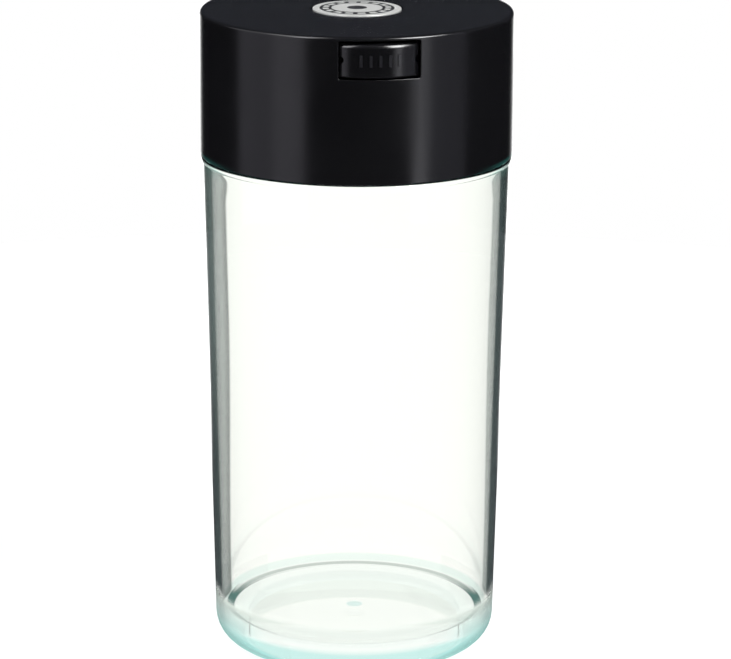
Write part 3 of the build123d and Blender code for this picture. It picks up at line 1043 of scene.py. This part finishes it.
class OBJECT_OT_canister_spring(bpy.types.Operator):
    """Winds the return spring at its length at rest; the real one shortens as the button is pressed"""

    bl_idname = "object.canister_spring"
    bl_label = "Return Spring"

    def execute(self, context):
        finishes = context.scene.canister_finishes
        steel = bpy.data.materials.get("drawn_steel") or drawn_steel(finishes)
        piece = wind("return_coil", *SPRING, context.scene.canister_sizes, steel)
        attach(piece, "lid")
        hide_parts("button_spring")
        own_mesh(piece)
        return {"FINISHED"}


class OBJECT_OT_canister_stage(bpy.types.Operator):
    """Sets the pale floor, the studio light and the camera"""

    bl_idname = "object.canister_stage"
    bl_label = "Stage"

    def execute(self, context):
        stage = context.scene.canister_stage
        make_floor(stage)
        make_world(context.scene, stage)
        make_lamps(stage)
        make_camera(context.scene, stage)
        context.scene.view_settings.view_transform = "Standard"
        return {"FINISHED"}


# Stage

# The soft boxes that the lid mirrors: from, to and softness in degrees right of the camera,
# from and to as heights of the direction's tip, and their colour
BOXES = (
    (-93, -58, 5, -0.75, 0.6, (0.50, 0.49, 0.56)),
    (-60, -41, 6, -0.75, 0.6, (0.82, 0.80, 0.90)),
    (-104, -50, 9, 0.25, 0.9, (0.9, 0.9, 0.95)),
    (-50, -37, 5, 0.42, 0.85, (6.5, 6.5, 6.7)),
    (55, 83, 6, -0.75, 0.6, (0.28, 0.28, 0.33)),
    (44, 51, 4, -0.75, 0.6, (1.7, 1.7, 1.82)),
    (38, 59, 4, 0.42, 0.78, (19.5, 19.5, 19.5)),
)
# The pale backdrop that the outlines of jar and lid mirror
REAR = (4.4, 4.4, 4.4)
# What the clear plastic shows behind it
THROUGH = (1.12, 1.13, 1.10)
# The studio that gloss mirrors: low down, overhead, and behind the object
STUDIO_LOW = (0.008, 0.008, 0.010)
STUDIO_HIGH = (0.085, 0.085, 0.10)
STUDIO_REAR = (0.042, 0.046, 0.057)


def make_floor(stage):
    """A round pale floor. It clips to white where nothing shades it."""
    mesh = bpy.data.meshes.new("floor")
    work = bmesh.new()
    bmesh.ops.create_circle(work, cap_ends=True, segments=128, radius=stage.floor_radius)
    work.to_mesh(mesh)
    work.free()
    mesh.materials.append(floor_white(stage))
    floor = bpy.data.objects.new("floor", mesh)
    bpy.context.scene.collection.objects.link(floor)


def floor_white(stage):
    """Matt white to the eye, and dark to gloss but for a pale stretch far behind the object."""
    material, tree, shader, _ = new_material("floor_white")
    path = add(tree, "ShaderNodeLightPath").outputs
    shader.inputs["Roughness"].default_value = 0.9
    shader.inputs["Specular IOR Level"].default_value = 0.1
    place, _ = object_place(tree)
    white = mixed(tree, noise(tree, place, 8.0, 2), (0.93, 0.93, 0.93), (0.95, 0.95, 0.95))
    direct = maths(tree, "SUBTRACT", 1, path["Is Transmission Ray"])
    mirrored = product(tree, path["Is Glossy Ray"], direct)
    colour = mixed(tree, mirrored, white, (0.04, 0.04, 0.045))
    unbent = maths(tree, "GREATER_THAN", path["Transparent Depth"], 0.5)
    through = greatest(tree, path["Is Transmission Ray"], unbent)
    feed(tree, shader.inputs["Base Color"], mixed(tree, through, colour, (0, 0, 0)))
    glow = mixed(tree, path["Is Camera Ray"], (0.1, 0.1, 0.1), (0.24, 0.24, 0.24))
    # What the object mirrors of the floor: pale only far behind it, near the line of sight
    eye = bearing(stage)
    behind, beside = (
        add(tree, "ShaderNodeVectorMath", {0: place, 1: way}, operation="DOT_PRODUCT").outputs["Value"]
        for way in (-toward(eye, 0), toward(eye + pi / 2, 0))
    )
    beside = maths(tree, "SUBTRACT", maths(tree, "ABSOLUTE", beside), 38 * MM)
    slope = maths(tree, "DIVIDE", beside, greatest(tree, behind, MM))
    backdrop = maths(tree, "POWER", step_of(tree, slope, tan(radians(32)), tan(radians(3)), 0, 1), 3)
    backdrop = product(tree, backdrop, step_of(tree, behind, 120 * MM, 260 * MM))
    backdrop = mixed(tree, backdrop, (0.012, 0.012, 0.014), REAR)
    glow = mixed(tree, mirrored, glow, backdrop)
    glow = mixed(tree, through, glow, THROUGH)
    feed(tree, shader.inputs["Emission Color"], glow)
    shader.inputs["Emission Strength"].default_value = 1
    arrange(tree)
    return material


def bearing(stage):
    """The camera's direction from the jar's axis, as an azimuth."""
    return stage.camera_azimuth + atan2(stage.camera_right, stage.camera_back)


def toward(azimuth, elevation):
    """A direction: azimuth 0 is the way the vent button faces, and 90 degrees is to its right."""
    return Vector((sin(azimuth) * cos(elevation), -cos(azimuth) * cos(elevation), sin(elevation)))


def make_world(scene, stage):
    """White to the camera and through the plastic, even to matt faces, and a dark studio to gloss."""
    world = bpy.data.worlds.new("studio")
    scene.world = world
    world.use_nodes = True
    world.cycles.sampling_method = "NONE"
    tree = world.node_tree
    tree.nodes.clear()
    way = add(tree, "ShaderNodeTexCoord").outputs["Generated"]
    axes = add(tree, "ShaderNodeSeparateXYZ", {0: way}).outputs
    path = add(tree, "ShaderNodeLightPath").outputs

    # Degrees to the right of the camera
    back = product(tree, axes["Y"], -1)
    eye = bearing(stage)
    turned_x = maths(
        tree, "SUBTRACT", product(tree, axes["X"], cos(eye)), product(tree, back, sin(eye))
    )
    turned_y = maths(tree, "ADD", product(tree, back, cos(eye)), product(tree, axes["X"], sin(eye)))
    azimuth = product(tree, maths(tree, "ARCTAN2", turned_x, turned_y), 180 / pi)
    studio = studio_colour(tree, axes["Z"], azimuth)

    overhead = step_of(tree, axes["Z"], 0.5, 0.95)
    glass = mixed(tree, overhead, THROUGH, (0.35, 0.42, 0.41))
    even = (stage.ambient, stage.ambient, stage.ambient)
    light = mixed(tree, path["Is Glossy Ray"], even, studio)
    light = mixed(tree, path["Is Transmission Ray"], light, glass)
    light = mixed(tree, path["Is Camera Ray"], light, (1, 1, 1))
    background = add(tree, "ShaderNodeBackground", {"Color": light})
    output = add(tree, "ShaderNodeOutputWorld", {"Surface": background.outputs[0]})
    output.is_active_output = True
    arrange(tree)


def studio_colour(tree, rise, azimuth):
    """The dark studio with its pale backdrop and soft boxes, as gloss mirrors it."""
    aside = maths(tree, "ABSOLUTE", azimuth)
    studio = mixed(tree, step_of(tree, rise, 0.1, 0.5), STUDIO_LOW, STUDIO_HIGH)
    low_rear = product(tree, step_of(tree, aside, 110, 170), step_of(tree, rise, 0.02, 0.2))
    studio = mixed(tree, low_rear, studio, STUDIO_REAR)
    backdrop = maths(tree, "POWER", step_of(tree, aside, 148, 177), 3)
    backdrop = product(tree, backdrop, step_of(tree, rise, -0.04, 0.04, 1, 0))
    studio = mixed(tree, backdrop, studio, REAR)
    for start, end, soft, low, top, colour in BOXES:
        lit = product(
            tree, band_of(tree, azimuth, start, end, soft), band_of(tree, rise, low, top, 0.12)
        )
        studio = mixed(tree, lit, studio, colour)
    return studio


def make_lamps(stage):
    """A brighter lamp to the right and a weaker one to the left, both high and soft."""
    middle = (cad_box[0] + cad_box[1]) / 2
    for name, azimuth, elevation, side, power in (
        ("key", 62, 46, 0.30, stage.key_power),
        ("fill", -62, 46, 0.34, stage.fill_power),
    ):
        lamp = bpy.data.lights.new(name, "AREA")
        lamp.shape = "SQUARE"
        lamp.size = side
        lamp.energy = power
        holder = bpy.data.objects.new(name, lamp)
        bpy.context.scene.collection.objects.link(holder)
        away = toward(stage.camera_azimuth + radians(azimuth), radians(elevation))
        holder.location = middle + away
        holder.rotation_euler = away.to_track_quat("Z", "Y").to_euler()


def make_camera(scene, stage):
    """The camera, placed as it was for the photograph."""
    data = bpy.data.cameras.new("camera")
    data.sensor_width = 36
    data.lens = stage.camera_lens
    camera = bpy.data.objects.new("camera", data)
    scene.collection.objects.link(camera)
    round_jar = Matrix.Rotation(stage.camera_azimuth, 4, "Z")
    place = Matrix.Translation((stage.camera_right, -stage.camera_back, stage.camera_height))
    look = Matrix.Rotation(pi / 2 - stage.camera_pitch, 4, "X")
    roll = Matrix.Rotation(stage.camera_roll, 4, "Z")
    camera.matrix_world = round_jar @ place @ look @ roll
    scene.camera = camera


class VIEW3D_PT_canister(bpy.types.Panel):
    """The canister's pieces, sizes and finishes"""

    bl_idname = "VIEW3D_PT_canister"
    bl_label = "Canister"
    bl_space_type = "VIEW_3D"
    bl_region_type = "UI"
    bl_category = "Canister"

    def draw(self, context):
        for operator in OPERATORS:
            self.layout.operator(operator.bl_idname)
        for name in GROUPS:
            settings = getattr(context.scene, name)
            box = self.layout.box()
            for label in settings.bl_rna.properties.keys():
                if label not in ("rna_type", "name"):
                    box.prop(settings, label)


OPERATORS = (
    OBJECT_OT_canister_groups,
    OBJECT_OT_canister_jar,
    OBJECT_OT_canister_lid,
    OBJECT_OT_canister_badge,
    OBJECT_OT_canister_button,
    OBJECT_OT_canister_plug,
    OBJECT_OT_canister_valve,
    OBJECT_OT_canister_spring,
    OBJECT_OT_canister_stage,
)
GROUPS = {
    "canister_sizes": CanisterSizes,
    "canister_finishes": CanisterFinishes,
    "canister_stage": CanisterStage,
}


def register():
    """Adds the settings, the operators and the panel."""
    for name, group in GROUPS.items():
        bpy.utils.register_class(group)
        setattr(bpy.types.Scene, name, bpy.props.PointerProperty(type=group))
    for cls in (*OPERATORS, VIEW3D_PT_canister):
        bpy.utils.register_class(cls)


def unregister():
    """Takes them out again."""
    for cls in reversed((*OPERATORS, VIEW3D_PT_canister)):
        bpy.utils.unregister_class(cls)
    for name, group in GROUPS.items():
        delattr(bpy.types.Scene, name)
        bpy.utils.unregister_class(group)


def main():
    """Makes every piece in order."""
    register()
    for operator in OPERATORS:
        group, call = operator.bl_idname.split(".")
        getattr(getattr(bpy.ops, group), call)()


if __name__ == "__main__":
    main()
